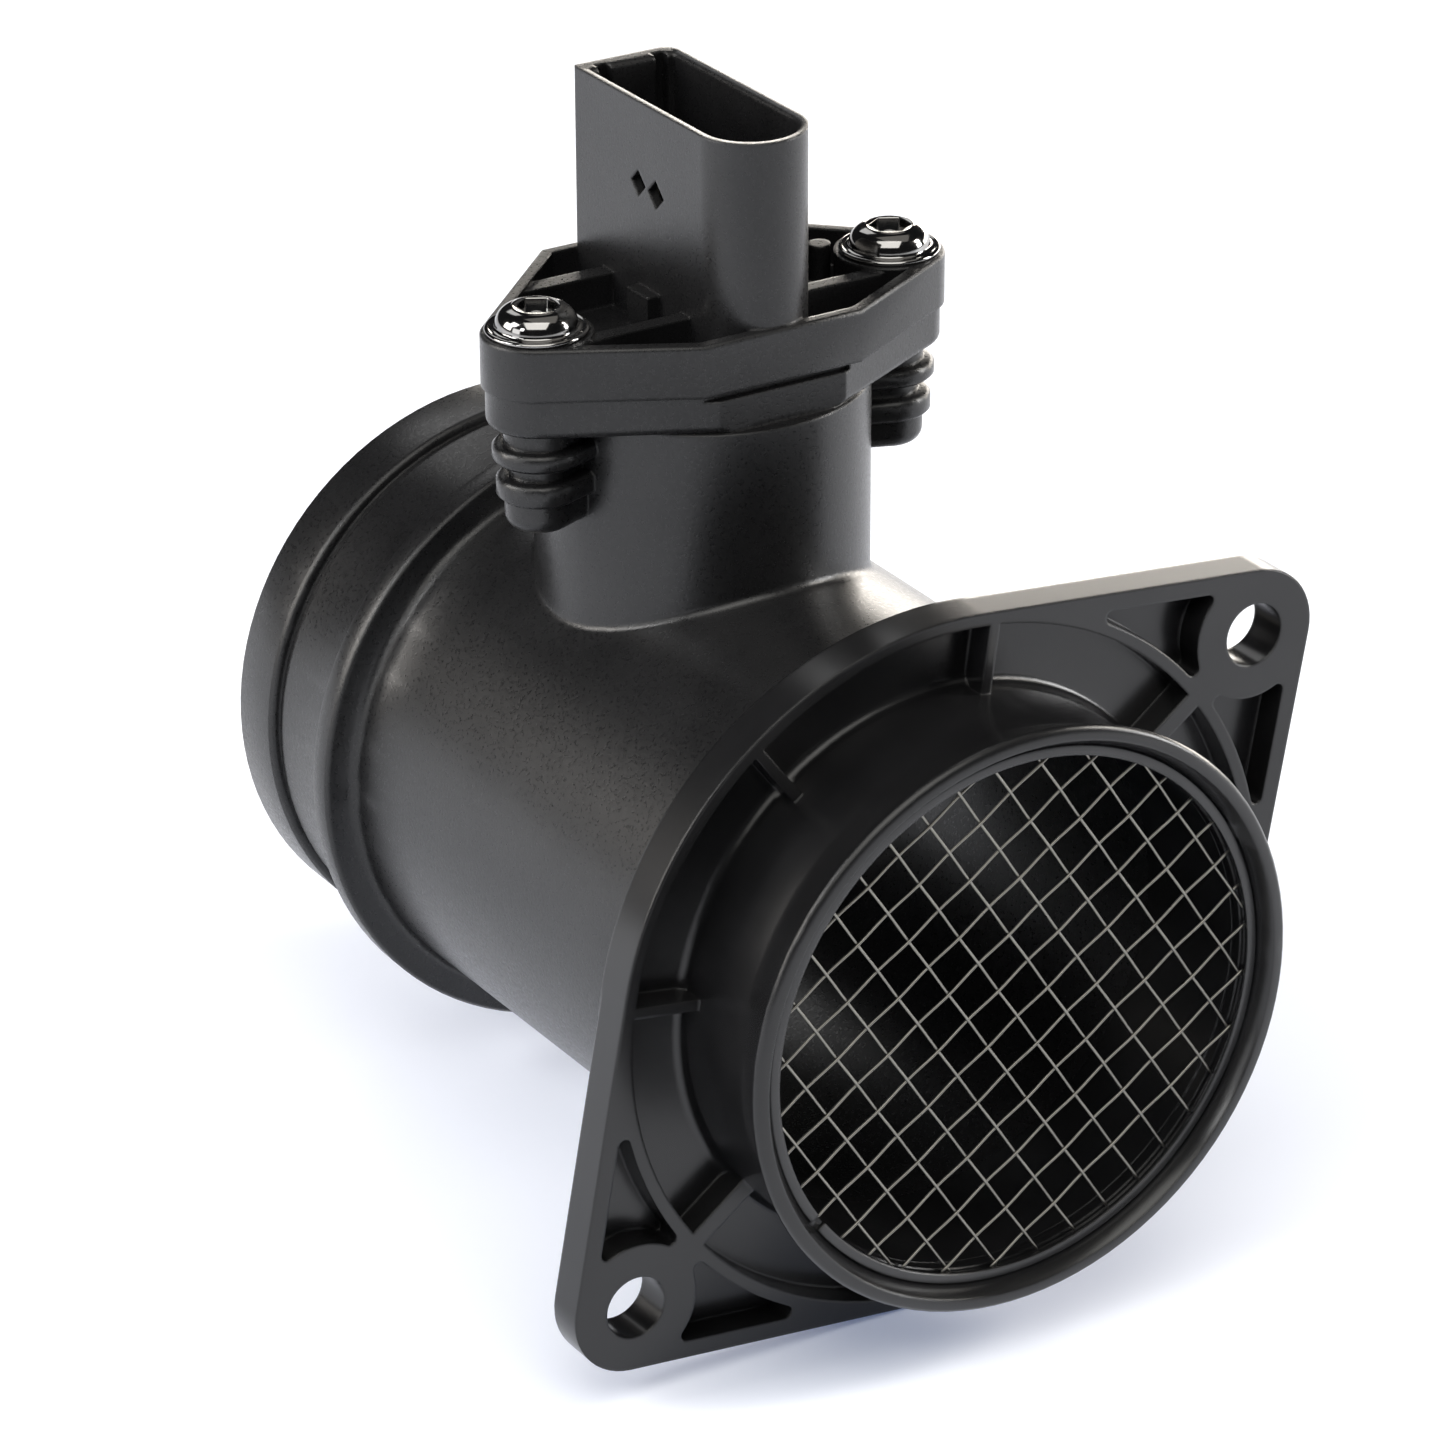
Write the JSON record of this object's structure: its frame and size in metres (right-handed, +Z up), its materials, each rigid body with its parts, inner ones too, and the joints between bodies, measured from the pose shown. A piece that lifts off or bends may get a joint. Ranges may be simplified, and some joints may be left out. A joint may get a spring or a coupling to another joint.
{
  "type": "mass airflow sensor",
  "caption": "Mass airflow sensor: a short air tube with a wire mesh at its inlet and a diagonal lugged flange, and a plug-in head whose finger crosses the air stream.",
  "frame": {"origin": "centre of the flange's mounting face, on the axis of the air tube", "axes": "+Y along the air flow, +Z up through the tower and the plug socket, +X to the right when seen from the inlet"},
  "size_m": [0.0974, 0.1176, 0.1294],
  "materials": {
    "housing_plastic": "glass-filled nylon, black, fine spark-eroded grain",
    "head_plastic": "glass-filled polyester, black, fine grain",
    "ring_plastic": "moulded smooth, dark grey",
    "wire_steel": "drawn stainless wire",
    "screw_coating": "steel with a glossy black coating",
    "seal_rubber": "nitrile rubber, smooth",
    "terminal_tin": "tin plated",
    "plate_aluminium": "rolled sheet",
    "board_ceramic": "fired alumina",
    "chip_epoxy": "moulded epoxy",
    "capacitor_ceramic": "fired, smooth",
    "carrier_laminate": "glass laminate with solder mask",
    "sensor_silicon": "polished silicon with a glass membrane",
    "gel_silicone": "soft clear silicone",
    "bead_glass": "glass-sealed bead",
    "lead_steel": "tinned nickel-iron wire"
  },
  "bodies": {
    "root": {"housing": "housing_plastic", "screen_ring": "ring_plastic", "screen_warp_wires": "wire_steel", "screen_weft_wires": "wire_steel", "sensor_head": "head_plastic", "head_seal": "seal_rubber", "cap_screws": "screw_coating", "terminal_1": "terminal_tin", "terminal_2": "terminal_tin", "terminal_3": "terminal_tin", "terminal_4": "terminal_tin", "terminal_5": "terminal_tin", "base_plate": "plate_aluminium", "circuit_board": "board_ceramic", "control_chip": "chip_epoxy", "board_capacitor_1": "capacitor_ceramic", "board_capacitor_2": "capacitor_ceramic", "board_capacitor_3": "capacitor_ceramic", "chip_carrier": "carrier_laminate", "sensor_chip": "sensor_silicon", "board_gel": "gel_silicone", "electronics_cover": "head_plastic", "channel_cover": "head_plastic", "temperature_bead": "bead_glass", "bead_lead_1": "lead_steel", "bead_lead_2": "lead_steel"}
  },
  "joints": []
}
